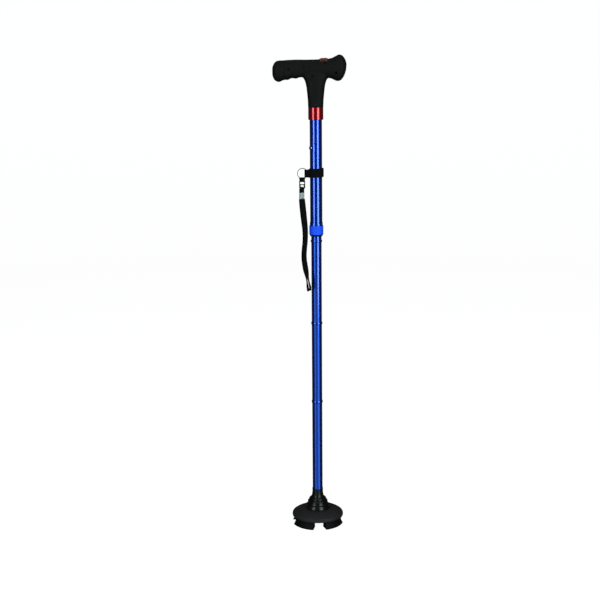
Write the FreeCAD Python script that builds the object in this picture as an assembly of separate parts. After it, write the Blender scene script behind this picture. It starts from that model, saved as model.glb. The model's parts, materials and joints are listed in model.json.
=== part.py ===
"""Folding walking cane with a T handle, a wrist strap and a pivoting four-lobed foot.

Millimetres. The shaft's axis is Z, the floor is Z = 0, the long grip points along -X and the
nose with the light points along +X. Every piece is written to parts/NAME.step.
"""
import FreeCAD, Part
import math
import os
from FreeCAD import Vector

# ---- driving dimensions ------------------------------------------------------------------
GAP = 0.3                    # clearance between pieces that move past each other
PIN_GAP = 0.08               # running clearance of a pin in its hole

# tubes
SHAFT_R = 9.5                # lower sections and the telescoping section
SHAFT_BORE_R = 8.1
UPPER_R = 11.1               # upper tube
UPPER_BORE_R = SHAFT_R + GAP
TUBE_FOOT_Z = 50.0           # lower end of the bottom tube
JOINT_Z = (237.0, 388.0, 542.1)   # parting lines between the sections
INNER_TOP_Z = 735.0          # upper end of the telescoping section
UPPER_FOOT_Z = 561.0         # lower end of the upper tube
UPPER_TOP_Z = 800.0          # its upper end, inside the handle
COLLAR_R = 10.6              # rolled collar at the lower end of a section
COLLAR_H = 4.0
SPIGOT_GRIP = 30.0           # how far a spigot reaches into each tube
SPIGOT_WALL = 1.6
STRETCH_REACH = 45.0         # how far each stretch of cord reaches past its parting line
CORD_R = 2.0
KNOT_R = 3.6

# height setting
BUTTON_Z = 714.6
BUTTON_R = 3.0
BUTTON_PROUD = 2.8
BUTTON_ANGLE = 210.0         # degrees about Z from +X
HOLE_PITCH = 21.0
HOLE_COUNT = 7

# lock nut
NUT_R = 13.0
NUT_FOOT_Z = 553.2
NUT_TOP_Z = 578.9
KNURL_Z = (557.1, 572.2)

# foot
PIVOT_Z = 24.0               # centre of the ball joint
BALL_R = 9.0
BOSS_R = 23.6                # spherical boss on the dome, about the ball's centre
BOOT_TOP_Z = 67.5            # top of the rubber neck on the bottom tube
STEM_R = 4.5
STEM_SHOULDER_Z = 47.8       # collar of the stem, clear of the boss when it tilts
TONGUE_HALF = 2.4            # the stem's flat tongue inside the ball
CUP_R = 14.0
CUP_Z = (9.3, 24.0, 30.0)    # lower face, split and upper face of the swivel cup
DOME_R = 48.3
SKIRT_Z = 14.5               # lower edge of the dome's skirt
SKIRT_BORE_R = 43.2
DOME_CEILING_Z = 18.0
HUB_R = 20.0
HUB_FOOT_Z = 9.0
LOBE_ARC = 58.0              # degrees that each floor lobe spans
LOBE_OFFSET = -40.0          # middle of the first lobe, degrees from +X
RETAINER_R = 19.7
RETAINER_H = 3.0
RETAINER_BOLT_R = 15.9

# handle
FERRULE_R = 13.6
FERRULE_Z = (764.8, 787.0)
SHELL_WALL = 2.6
PALM_CAP_X = -56.0           # the cap's joint with the two shells
CELL_R = 5.8
CELL_H = 5.4
CELL_AXIS_Z = 851.0
CELL_X = -69.4               # outer face of the outermost cell
HOLDER_WALL = 1.2
CONTACT_T = 0.6
BOARD_Z = 859.4
BOARD_T = 1.6
LIGHT_X = 14.5               # centre of the push button
LIGHT_BUTTON = (15.6, 21.6)  # its length, and its width across the grip
BUTTON_CORNER_R = 4.0
BUTTON_RISE = 2.4            # how far the button stands above the grip
BUTTON_DEPTH = 3.9           # how far it reaches below the grip's surface
BUTTON_SEAT_Z = 866.6        # flat seat for the spring under the button
BUTTON_ROOT_Z = 869.6        # where the spring seat joins the cap
BUTTON_TOP_Z = 874.8         # level of the grip grooves across the cap
BUTTON_FLANGE = 1.2          # rim that holds the button under the shells
BUTTON_SPAN_Z = (859, 890)   # from under the cap to above it
LENS_Z = 857.5               # axis of the light
LENS_R = 7.0
SCREW_R = 1.1
SCREW_HEAD_R = 2.2
BOSS_WALL_R = 3.2
SHELL_SCREWS = ((-48.8, 855.0), (-21.8, 859.0), (-6.4, 842.0), (36.0, 847.6))   # x, z

# grip outline: x, top, bottom, half width
GRIP = (
    (-77.4, 857.5, 845.0, 5.5),
    (-76.2, 861.4, 840.6, 9.0),
    (-73.9, 865.4, 836.3, 12.4),
    (-70.3, 868.9, 833.5, 14.7),
    (-65.0, 870.1, 832.2, 15.7),
    (-59.0, 870.4, 834.4, 15.6),
    (-51.0, 870.9, 836.2, 15.0),
    (-42.0, 871.3, 837.8, 14.4),
    (-32.0, 871.5, 839.0, 13.9),
    (-20.0, 871.3, 841.0, 13.8),
    (-6.0, 871.4, 842.0, 14.3),
    (8.0, 871.8, 841.5, 14.7),
    (20.0, 872.4, 839.4, 15.2),
    (29.0, 874.0, 837.2, 16.4),
    (36.0, 877.6, 834.0, 18.4),
    (42.0, 879.8, 833.6, 19.6),
    (47.0, 878.4, 836.6, 19.0),
    (51.5, 874.0, 843.4, 16.0),
    (54.4, 868.2, 851.5, 11.0),
    (55.4, 864.2, 857.0, 6.0),
)
# neck outline: z, half width along x, half width along y
NECK = (
    (787.0, 13.7, 13.7),
    (799.0, 14.2, 13.9),
    (808.0, 15.0, 14.1),
    (817.0, 15.9, 14.3),
    (825.0, 17.0, 14.5),
    (832.0, 18.7, 14.6),
    (838.0, 21.4, 14.5),
    (844.0, 25.4, 14.0),
    (851.0, 30.5, 12.6),
)
OVAL_POWER = 2.5             # 2 is an ellipse, larger is squarer
CAVITY_X = (-72.0, 52.0)     # grip stations that are hollow
CAVITY_Z = UPPER_TOP_Z - 2.0

# strap
BAND_Z = (661.0, 677.0)
BAND_T = 1.5
TAB_Y = -3.0
TAB_Z = (660.9, 675.7)
TAB_X = (-21.2, -12.9)
TAB_HALF = 2.0
POCKET_X = (-20.0, -14.4)
POCKET_HALF = 0.95
RING_X = -24.6
RING_Z = 668.3
RING_R = 9.3
WIRE_R = 0.6
LOOP_W = 7.6                 # fits between the link's side rails
EYE_R = 2.3                  # inside of the webbing loop round the ring
WEBBING_T = 1.0
LINK_X = -25.4
LINK_W = 11.0
LINK_RAIL = 1.5
LINK_BARS_Z = (654.8, 648.3, 642.0)
LINK_BAR_R = 1.0
CRIMP_X = -26.3
CRIMP_W = 9.2
BLOCK_Z = (633.9, 640.4)
CRIMP_Z = (621.8, 633.9)
STRAP_W = 10.0
STRAP_T = 1.4
STRAP_HEADING = -50.0        # degrees about Z of the vertical plane that the strap hangs in
STRAP_START = (-26.1, TAB_Y)
# the strap's route in that plane: distance along the heading, height
STRAP_ROUTE = (
    (-0.9, 621.8), (1.9, 595.0), (8.7, 556.0), (1.5, 517.0), (6.9, 494.0), (11.6, 477.5),
    (13.6, 466.0), (14.6, 459.0), (16.6, 455.0), (20.6, 454.9), (22.4, 460.0), (19.4, 468.0),
    (15.9, 477.5), (10.7, 495.0), (5.3, 517.0), (12.5, 556.0), (5.6, 595.0), (0.9, 621.8),
)
ARC_SHARE = 0.45             # share of the shorter run that an arc takes up

UP = Vector(0, 0, 1)
FORWARD = Vector(1, 0, 0)
SIDEWAYS = Vector(0, 1, 0)


# ---- shapes that repeat ------------------------------------------------------------------
def save(name, shape):
    """Write one piece, as a single solid or as a group of separate solids."""
    solids = shape.Solids
    if not solids or not shape.isValid():
        raise ValueError(f"{name} is not a valid solid")
    piece = solids[0] if len(solids) == 1 else Part.makeCompound(solids)
    piece.exportStep(f"parts/{name}.step")


def rod(radius, start, end):
    """Cylinder between two points."""
    along = end - start
    return Part.makeCylinder(radius, along.Length, start, along)


def upright(radius, low, high, x=0.0, y=0.0):
    """Vertical cylinder."""
    return rod(radius, Vector(x, y, low), Vector(x, y, high))


def sleeve(outer, bore, low, high):
    """Vertical tube on the shaft's axis."""
    return upright(outer, low, high).cut(upright(bore, low - 1, high + 1))


def block(x, y, z):
    """Box between pairs of limits."""
    return Part.makeBox(x[1] - x[0], y[1] - y[0], z[1] - z[0], Vector(x[0], y[0], z[0]))


def joined(shapes):
    """Fuse a list of shapes into one."""
    first, *rest = shapes
    return first.multiFuse(rest).removeSplitter() if rest else first


def turned(outline, angle=360.0, start=0.0):
    """Turn an outline about Z. It lists (radius, height), or two such pairs for an arc's middle and end."""
    def place(point):
        return Vector(point[0], 0, point[1])

    edges = []
    here = outline[0]
    for step in list(outline[1:]) + [outline[0]]:
        if isinstance(step[0], tuple):
            middle, end = step
            edges.append(Part.Arc(place(here), place(middle), place(end)).toShape())
        else:
            end = step
            if end != here:
                edges.append(Part.LineSegment(place(here), place(end)).toShape())
        here = end
    face = Part.Face(Part.Wire(edges))
    solid = face.revolve(Vector(0, 0, 0), UP, angle)
    solid.rotate(Vector(0, 0, 0), UP, start)
    return solid


def on_sphere(radius, polar):
    """Radius and height of a point on a sphere about the ball's centre, by its angle from +Z."""
    turn = math.radians(polar)
    return radius * math.sin(turn), PIVOT_Z + radius * math.cos(turn)


def oval(centre, first, second, first_half, second_half):
    """Closed smooth superellipse about a centre."""
    points = []
    count = 20
    for step in range(count):
        turn = 2 * math.pi * step / count
        c, s = math.cos(turn), math.sin(turn)
        a = first_half * math.copysign(abs(c) ** (2 / OVAL_POWER), c)
        b = second_half * math.copysign(abs(s) ** (2 / OVAL_POWER), s)
        points.append(centre + first * a + second * b)
    curve = Part.BSplineCurve()
    curve.interpolate(Points=points, PeriodicFlag=True)
    return Part.Wire(curve.toShape())


def rounded_path(points):
    """Straight runs joined by tangent arcs, with the arcs' radii."""
    edges, radii = [], []
    here = points[0]
    for before, corner, after in zip(points, points[1:], points[2:]):
        back, ahead = before - corner, after - corner
        take = ARC_SHARE * min(back.Length, ahead.Length)
        start = corner + back.normalize() * take
        end = corner + ahead.normalize() * take
        turn = math.pi - back.getAngle(ahead)
        radius = take / math.tan(turn / 2)
        middle_of_chord = (start + end) * 0.5
        towards = (corner - middle_of_chord).normalize()
        middle = middle_of_chord + towards * radius * (1 - math.cos(turn / 2))
        edges.append(Part.LineSegment(here, start).toShape())
        edges.append(Part.Arc(start, middle, end).toShape())
        radii.append(radius)
        here = end
    edges.append(Part.LineSegment(here, points[-1]).toShape())
    return Part.Wire(edges), radii


# ---- foot --------------------------------------------------------------------------------
def bolt_places():
    """Where the cup retainer's screws stand."""
    turns = (math.radians(angle) for angle in (90, 210, 330))
    return [(RETAINER_BOLT_R * math.cos(t), RETAINER_BOLT_R * math.sin(t)) for t in turns]


def make_foot():
    opening_low = (7.3, CUP_Z[2] + GAP)
    edge_low = on_sphere(BOSS_R, 75)
    edge_high = on_sphere(BOSS_R, 28)
    dome = turned([
        opening_low,
        edge_high,
        (on_sphere(BOSS_R, 50), edge_low),
        (24.4, 29.6),
        ((36.2, 26.9), (DOME_R - 1.9, 21.6)),
        ((DOME_R, 18.4), (DOME_R - 0.3, SKIRT_Z)),
        (SKIRT_BORE_R, SKIRT_Z),
        (SKIRT_BORE_R, DOME_CEILING_Z),
        (HUB_R, DOME_CEILING_Z),
        (HUB_R, HUB_FOOT_Z),
        (CUP_R + GAP, HUB_FOOT_Z),
        (CUP_R + GAP, CUP_Z[2] + GAP),
    ])
    screw_holes = [upright(SCREW_R, HUB_FOOT_Z - 1, HUB_FOOT_Z + 6, x, y) for x, y in bolt_places()]
    save("foot_dome", dome.cut(Part.makeCompound(screw_holes)))

    lobes = []
    for quarter in range(4):
        middle = LOBE_OFFSET + 90 * quarter
        lobes.append(turned([
            (29.0, 0.0),
            (48.0, 0.0),
            (48.4, 1.6),
            ((44.6, 7.6), (43.9, SKIRT_Z)),
            (SKIRT_BORE_R, SKIRT_Z),
            (SKIRT_BORE_R, DOME_CEILING_Z),
            (32.0, DOME_CEILING_Z),
        ], LOBE_ARC, middle - LOBE_ARC / 2))
    save("floor_lobes", Part.makeCompound(lobes))

    retainer_z = HUB_FOOT_Z - RETAINER_H
    retainer = sleeve(RETAINER_R, 6.0, retainer_z, HUB_FOOT_Z)
    head_z = retainer_z + 1.4
    screws = []
    for x, y in bolt_places():
        head = upright(SCREW_HEAD_R, retainer_z, head_z, x, y)
        screws.append(head.fuse(upright(SCREW_R, head_z, HUB_FOOT_Z + 6, x, y)).removeSplitter())
    save("cup_retainer", retainer.cut(Part.makeCompound(screws)))
    save("retainer_screws", Part.makeCompound(screws))


def make_swivel():
    low, split, high = CUP_Z
    seat = Part.makeSphere(BALL_R + GAP, Vector(0, 0, PIVOT_Z))
    save("swivel_cup_lower", upright(CUP_R, low, split).cut(seat))
    save("swivel_cup_upper", upright(CUP_R, split, high).cut(seat))

    pin_half = BALL_R - 0.5
    pin = rod(1.5, Vector(0, -pin_half, PIVOT_Z), Vector(0, pin_half, PIVOT_Z))
    slot = block((-6.6, 6.6), (-TONGUE_HALF - GAP, TONGUE_HALF + GAP), (PIVOT_Z - 5.2, PIVOT_Z + 12))
    ball = Part.makeSphere(BALL_R, Vector(0, 0, PIVOT_Z)).cut(slot)
    hole = rod(1.5, Vector(0, -12, PIVOT_Z), Vector(0, 12, PIVOT_Z))
    save("pivot_ball", ball.cut(hole))
    save("pivot_pin", pin)


# ---- lower sections ----------------------------------------------------------------------
def make_tip():
    """Stem, rubber neck and the bottom end of the bottom tube."""
    knuckle = rod(STEM_R, Vector(0, -STEM_R, PIVOT_Z), Vector(0, STEM_R, PIVOT_Z))
    tongue = joined([knuckle, upright(STEM_R, PIVOT_Z, PIVOT_Z + 10.5)])
    tongue = tongue.common(block((-9, 9), (-TONGUE_HALF, TONGUE_HALF), (PIVOT_Z - 9, PIVOT_Z + 11)))
    stem = joined([
        tongue,
        upright(STEM_R, PIVOT_Z + 10.5, STEM_SHOULDER_Z),
        upright(SHAFT_R, STEM_SHOULDER_Z, TUBE_FOOT_Z),
        upright(SHAFT_BORE_R, TUBE_FOOT_Z, 64.0),
    ])
    hole = rod(1.5 + PIN_GAP, Vector(0, -12, PIVOT_Z), Vector(0, 12, PIVOT_Z))
    save("tip_stem", stem.cut(hole))

    hollow = BOSS_R + 0.4
    inner_low = on_sphere(hollow, 59.5)
    inner_high = (SHAFT_R, PIVOT_Z + math.sqrt(hollow ** 2 - SHAFT_R ** 2))
    neck = turned([
        inner_high,
        (on_sphere(hollow, 42), inner_low),
        (21.6, 36.2),
        ((19.9, 38.0), (18.6, 40.6)),
        ((18.8, 42.9), (17.2, 44.6)),
        (15.8, 45.6),
        ((16.2, 47.7), (14.9, 49.4)),
        ((12.4, 51.4), (11.0, 54.6)),
        ((10.5, 57.6), (10.3, BOOT_TOP_Z)),
        (SHAFT_R, BOOT_TOP_Z),
    ])
    save("neck_boot", neck)


def make_collar(name, low):
    """Rolled collar at the lower end of a tube."""
    save(f"{name}_collar", turned([
        (SHAFT_R, low),
        (COLLAR_R - 0.5, low),
        ((COLLAR_R, low + COLLAR_H / 2), (COLLAR_R - 0.5, low + COLLAR_H)),
        (SHAFT_R, low + COLLAR_H),
    ]))


def make_section(name, low, high):
    """One tube with the spigot glued into its upper end."""
    save(f"{name}_tube", sleeve(SHAFT_R, SHAFT_BORE_R, low, high))
    free_r = SHAFT_BORE_R - GAP
    bore_r = free_r - SPIGOT_WALL
    spigot = turned([
        (bore_r, high - SPIGOT_GRIP),
        (SHAFT_BORE_R, high - SPIGOT_GRIP),
        (SHAFT_BORE_R, high),
        (free_r, high),
        (free_r, high + SPIGOT_GRIP - 1.5),
        (free_r - 1.0, high + SPIGOT_GRIP),
        (bore_r, high + SPIGOT_GRIP),
    ])
    save(f"{name}_spigot", spigot)


def make_lower_sections():
    make_tip()
    first, second, third = JOINT_Z
    plug_z = (73.0, 78.0)
    knot_z = plug_z[0] - KNOT_R
    make_section("bottom", TUBE_FOOT_Z, first)
    for name, low, high in (("third", first, second), ("second", second, third)):
        make_section(name, low, high)
        make_collar(name, low)
        save(f"cord_{name}", upright(CORD_R, low + STRETCH_REACH, high + STRETCH_REACH))

    knot = Part.makeSphere(KNOT_R, Vector(0, 0, knot_z))
    stretch = upright(CORD_R, knot_z, first + STRETCH_REACH)
    save("cord_bottom", joined([knot, stretch]))
    save("cord_plug", sleeve(SHAFT_BORE_R, CORD_R, *plug_z).cut(knot))


# ---- telescoping section -----------------------------------------------------------------
def button_way():
    """Direction in which the snap button points."""
    turn = math.radians(BUTTON_ANGLE)
    return Vector(math.cos(turn), math.sin(turn), 0)


def button_hole(height):
    """Round hole from the shaft's axis outwards, where the snap button passes."""
    centre = Vector(0, 0, height)
    return rod(BUTTON_R + GAP, centre, centre + button_way() * 20)


def make_inner_section():
    low = JOINT_Z[2]
    tube = sleeve(SHAFT_R, SHAFT_BORE_R, low, INNER_TOP_Z)
    save("inner_tube", tube.cut(button_hole(BUTTON_Z)))
    make_collar("inner", low)
    save("inner_end_plug", joined([
        upright(SHAFT_BORE_R, INNER_TOP_Z - 6, INNER_TOP_Z),
        upright(SHAFT_R - 0.1, INNER_TOP_Z, INNER_TOP_Z + 1.6),
    ]))
    anchor_z = (636.0, 641.0)
    knot = Part.makeSphere(KNOT_R, Vector(0, 0, anchor_z[1] + KNOT_R))
    stretch = upright(CORD_R, low + STRETCH_REACH, anchor_z[1] + KNOT_R)
    save("cord_top", joined([stretch, knot]))
    save("cord_anchor", sleeve(SHAFT_BORE_R, CORD_R, *anchor_z).cut(knot))

    # a leaf spring bent to a U: one leg under the button, the other against the far wall
    leaf_t = 0.5
    leaf_w = 6.0
    near, far = 6.4, -7.4
    foot_z, near_top, far_top = 692.0, 722.0, 726.0
    legs = [
        block((near - leaf_t, near), (-leaf_w / 2, leaf_w / 2), (foot_z, near_top)),
        block((far, far + leaf_t), (-leaf_w / 2, leaf_w / 2), (foot_z, far_top)),
        block((far, near), (-leaf_w / 2, leaf_w / 2), (foot_z - leaf_t, foot_z)),
    ]
    clip = joined(legs)
    clip.rotate(Vector(0, 0, 0), UP, BUTTON_ANGLE)
    save("spring_clip", clip)

    centre = Vector(0, 0, BUTTON_Z)
    way = button_way()
    tip = UPPER_R + BUTTON_PROUD
    dome_h = 1.2
    dome_r = (BUTTON_R ** 2 + dome_h ** 2) / (2 * dome_h)
    shank = rod(BUTTON_R, centre + way * near, centre + way * tip)
    dome = Part.makeSphere(dome_r, centre + way * (tip - dome_r))
    flange = rod(4.2, centre + way * near, centre + way * (near + 0.6))
    below_dome = rod(9, centre, centre + way * (tip - dome_h))
    rounded_shank = shank.common(dome.fuse(below_dome))
    save("snap_button", joined([rounded_shank, flange]))


# ---- upper shaft -------------------------------------------------------------------------
def make_upper_tube():
    tube = sleeve(UPPER_R, UPPER_BORE_R, UPPER_FOOT_Z, UPPER_TOP_Z)
    holes = [button_hole(BUTTON_Z - HOLE_PITCH * step) for step in range(HOLE_COUNT)]
    save("upper_tube", tube.cut(Part.makeCompound(holes + [neck_screw()])))
    save("clamp_collet", turned([
        (UPPER_BORE_R, UPPER_FOOT_Z),
        (UPPER_BORE_R, UPPER_FOOT_Z - 5),
        (UPPER_R - 0.9, UPPER_FOOT_Z - 5),
        (UPPER_R, UPPER_FOOT_Z - 2.5),
        (UPPER_R, UPPER_FOOT_Z),
    ]))
    low, high = FERRULE_Z
    save("handle_ferrule", turned([
        (UPPER_R, low),
        (FERRULE_R - 0.5, low),
        (FERRULE_R, low + 0.5),
        (FERRULE_R, high - 0.4),
        (FERRULE_R - 0.4, high),
        (UPPER_R, high),
    ]))

    bore = UPPER_R + GAP
    save("lock_nut", turned([
        (SHAFT_R + 0.4, NUT_FOOT_Z),
        (NUT_R - 2.0, NUT_FOOT_Z),
        (NUT_R, KNURL_Z[0]),
        (NUT_R, KNURL_Z[1]),
        (NUT_R - 0.9, KNURL_Z[1] + 1.0),
        (NUT_R - 1.3, NUT_TOP_Z),
        (bore, NUT_TOP_Z),
        (bore, UPPER_FOOT_Z - 3.3),
        (SHAFT_R + 0.4, UPPER_FOOT_Z - 6),
    ]))


# ---- handle ------------------------------------------------------------------------------
def grip_form(inset=0.0, limits=(-90.0, 90.0)):
    """The grip from palm end to nose, or its hollow when inset."""
    rings = []
    for x, top, bottom, half in GRIP:
        if limits[0] < x < limits[1]:
            centre = Vector(x, 0, (top + bottom) / 2)
            rings.append(oval(centre, SIDEWAYS, UP, half - inset, (top - bottom) / 2 - inset))
    return Part.makeLoft(rings, True, False)


def neck_form(inset=0.0, floor=0.0):
    """The neck from the ferrule up into the grip, or its hollow when inset."""
    rings = [
        oval(Vector(0, 0, z), FORWARD, SIDEWAYS, half_x - inset, half_y - inset)
        for z, half_x, half_y in NECK
        if z > floor
    ]
    return Part.makeLoft(rings, True, False)


def shell_screw(x, z):
    """A screw along Y with its head at the front."""
    head = rod(SCREW_HEAD_R, Vector(x, -10.6, z), Vector(x, -9.2, z))
    return head.fuse(rod(SCREW_R, Vector(x, -9.2, z), Vector(x, 8.0, z))).removeSplitter()


def neck_screw():
    """The screw that holds the handle on the upper tube."""
    head = rod(SCREW_HEAD_R, Vector(0, -12.8, 793.0), Vector(0, -11.4, 793.0))
    return head.fuse(rod(SCREW_R, Vector(0, -11.4, 793.0), Vector(0, -3.0, 793.0))).removeSplitter()


def button_outline(margin):
    """Upright block with rounded corners: the push button seen from above, plus a margin."""
    length, width = LIGHT_BUTTON
    x, y = length / 2 + margin, width / 2 + margin
    slab = block((LIGHT_X - x, LIGHT_X + x), (-y, y), BUTTON_SPAN_Z)
    corners = [edge for edge in slab.Edges if abs(edge.tangentAt(edge.FirstParameter).z) > 0.9]
    return slab.makeFillet(BUTTON_CORNER_R + margin, corners)


def under_grip(form, upper, lower):
    """What a form holds between two depths below the grip's surface."""
    return form.common(grip_form(upper)).cut(grip_form(lower))


def make_handle_shells():
    outside = joined([grip_form(), neck_form()])
    hollow = joined([grip_form(SHELL_WALL, CAVITY_X), neck_form(SHELL_WALL, CAVITY_Z)])
    casing = outside.cut(hollow)
    bosses = [rod(BOSS_WALL_R, Vector(x, -20, z), Vector(x, 20, z)) for x, z in SHELL_SCREWS]
    casing = joined([casing] + [outside.common(boss) for boss in bosses])

    screws = [shell_screw(x, z) for x, z in SHELL_SCREWS] + [neck_screw()]
    head_ways = [rod(SCREW_HEAD_R, Vector(x, -25, z), Vector(x, -10.6, z)) for x, z in SHELL_SCREWS]
    head_ways.append(rod(SCREW_HEAD_R, Vector(0, -25, 793.0), Vector(0, -12.8, 793.0)))
    voids = screws + head_ways + [
        upright(UPPER_R, 780, UPPER_TOP_Z + 0.5),
        button_outline(GAP),
        rod(LENS_R, Vector(45, 0, LENS_Z), Vector(60, 0, LENS_Z)),
    ]
    casing = casing.cut(Part.makeCompound(voids))
    save("handle_screws", Part.makeCompound(screws))

    z = (770, 900)
    half_casings = {
        "handle_front_shell": casing.common(block((PALM_CAP_X, 90), (-40, 0), z)),
        "handle_back_shell": casing.common(block((PALM_CAP_X, 90), (0, 40), z)),
    }
    for name, shell in half_casings.items():
        save(name, shell)
    save("palm_cap", casing.common(block((-90, PALM_CAP_X), (-40, 40), z)))


def make_handle_core():
    """Plug in the upper tube, flange, post and the tower that carries the switch board."""
    core = joined([
        upright(UPPER_BORE_R, 780, UPPER_TOP_Z),
        upright(UPPER_R - 0.1, UPPER_TOP_Z, UPPER_TOP_Z + 3),
        block((-8, 8), (-6, 6), (UPPER_TOP_Z + 3, 836)),
        block((-2, 10), (-4, 4), (836, 848)),
        block((-1, 23), (-4, 4), (846, BOARD_Z)),
    ])
    save("handle_core", core.cut(neck_screw()))


def make_light():
    grooves = [
        rod(0.7, Vector(LIGHT_X + shift, -3, BUTTON_TOP_Z), Vector(LIGHT_X + shift, 3, BUTTON_TOP_Z))
        for shift in (-3.9, 0, 3.9)
    ]
    cap = under_grip(button_outline(0.0), -BUTTON_RISE, BUTTON_DEPTH)
    flange = under_grip(button_outline(BUTTON_FLANGE), SHELL_WALL + GAP, BUTTON_DEPTH)
    seat = upright(5.6, BUTTON_SEAT_Z, BUTTON_ROOT_Z, LIGHT_X)
    save("light_button", joined([cap, flange, seat]).cut(Part.makeCompound(grooves)))

    board_top = BOARD_Z + BOARD_T
    save("switch_board", block((1.5, 25), (-8, 8), (BOARD_Z, board_top)))
    save("push_switch", joined([
        block((LIGHT_X - 3, LIGHT_X + 3), (-3, 3), (board_top, board_top + 2.6)),
        upright(1.7, board_top + 2.6, board_top + 3.6, LIGHT_X),
    ]))
    spring_low, spring_high = board_top, BUTTON_SEAT_Z
    turns = 3.5
    spring_r, spring_wire = 4.6, 0.25
    rise = spring_high - spring_low - 2 * spring_wire
    helix = Part.makeHelix(rise / turns, rise, spring_r)
    ring = Part.Wire(Part.makeCircle(spring_wire, Vector(spring_r, 0, 0), SIDEWAYS))
    coil = Part.Wire(helix.Edges).makePipeShell([ring], True, True)
    coil.translate(Vector(LIGHT_X, 0, spring_low + spring_wire))
    save("button_spring", coil)

    axis = Vector(0, 0, LENS_Z)
    save("light_lens", joined([
        rod(LENS_R, axis + FORWARD * 50.6, axis + FORWARD * 54.0),
        rod(LENS_R + 1.8, axis + FORWARD * 49.2, axis + FORWARD * 50.6),
    ]))
    bowl = Part.makeCone(3.2, LENS_R + 0.6, 8.2, axis + FORWARD * 41, FORWARD)
    body = Part.makeCone(4.4, LENS_R + 1.8, 8.2, axis + FORWARD * 41, FORWARD)
    save("light_reflector", body.cut(bowl))
    emitter = joined([
        rod(2.5, axis + FORWARD * 40, axis + FORWARD * 44.5),
        Part.makeSphere(2.5, axis + FORWARD * 44.5),
        rod(2.9, axis + FORWARD * 39.6, axis + FORWARD * 40.6),
    ])
    save("light_emitter", emitter)
    save("emitter_board", block((38, 39.6), (-6, 6), (LENS_Z - 6, LENS_Z + 6)))


def make_cells():
    axis = Vector(0, 0, CELL_AXIS_Z)
    cells = []
    for number in range(3):
        start = axis + FORWARD * (CELL_X + number * CELL_H)
        rim = rod(CELL_R, start, start + FORWARD * (CELL_H - 1.0))
        button = rod(CELL_R - 1.2, start + FORWARD * (CELL_H - 1.0), start + FORWARD * CELL_H)
        cells.append(rim.fuse(button).removeSplitter())
    save("button_cells", Part.makeCompound(cells))
    stack_end = CELL_X + 3 * CELL_H
    holder_r = CELL_R + HOLDER_WALL
    contact_end = stack_end + CONTACT_T
    holder_end = contact_end + 0.4
    holder = rod(holder_r, axis + FORWARD * CELL_X, axis + FORWARD * holder_end)
    holder = holder.cut(rod(CELL_R, axis + FORWARD * (CELL_X - 1), axis + FORWARD * contact_end))
    save("cell_holder", holder)
    save("cell_contacts", Part.makeCompound([
        rod(CELL_R - 1.4, axis + FORWARD * stack_end, axis + FORWARD * contact_end),
        rod(CELL_R - 1.4, axis + FORWARD * (CELL_X - CONTACT_T), axis + FORWARD * CELL_X),
    ]))
    return holder_end


def make_wires(holder_end):
    """Two wires from the cell holder to the switch board, and two on to the light."""
    wire_r = 0.6
    wires = []
    for y in (-5.4, 5.4):
        low, rise_x = CELL_AXIS_Z - 3.0, 3.2
        points = [
            Vector(holder_end, y * 0.7, low),
            Vector(-30, y * 0.7, low),
            Vector(-8, y, low + 0.5),
            Vector(rise_x, y, low + 1.5),
            Vector(rise_x, y, BOARD_Z),
        ]
        path, _ = rounded_path(points)
        start = Part.Wire(Part.makeCircle(wire_r, points[0], points[1] - points[0]))
        wires.append(path.makePipeShell([start], True, False))
        wires.append(rod(wire_r, Vector(25, y, BOARD_Z + 0.8), Vector(38, y, BOARD_Z + 0.8)))
    save("handle_wires", Part.makeCompound(wires))


def make_handle():
    make_handle_shells()
    make_handle_core()
    make_light()
    make_wires(make_cells())


# ---- strap -------------------------------------------------------------------------------
def make_band_and_ring():
    low, high = BAND_Z
    band = sleeve(UPPER_R + BAND_T, UPPER_R, low, high)
    overlap = turned([
        (UPPER_R + BAND_T - 0.2, low + 0.6),
        (UPPER_R + 2 * BAND_T, low + 0.6),
        (UPPER_R + 2 * BAND_T, high + 1.0),
        (UPPER_R + BAND_T - 0.2, high + 1.0),
    ], 84, -46)
    button_window = button_hole(BUTTON_Z - 2 * HOLE_PITCH)
    save("strap_band", joined([band, overlap]).cut(button_window))

    y = (TAB_Y - TAB_HALF, TAB_Y + TAB_HALF)
    tab = joined([
        block((TAB_X[0] + TAB_HALF, TAB_X[1] - TAB_HALF), y, TAB_Z),
        upright(TAB_HALF, *TAB_Z, TAB_X[0] + TAB_HALF, TAB_Y),
        upright(TAB_HALF, *TAB_Z, TAB_X[1] - TAB_HALF, TAB_Y),
    ])
    pocket = block(POCKET_X, (TAB_Y - POCKET_HALF, TAB_Y + POCKET_HALF), (TAB_Z[0] - 1, TAB_Z[1] + 1))
    save("band_tab", tab.cut(pocket))
    save("split_ring", Part.makeTorus(RING_R, WIRE_R, Vector(RING_X, TAB_Y, RING_Z), SIDEWAYS))


def across(radius, z, centre_x, width):
    """Rod along X through the strap's hanging plane."""
    half = width / 2
    return rod(radius, Vector(centre_x - half, TAB_Y, z), Vector(centre_x + half, TAB_Y, z))


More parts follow.
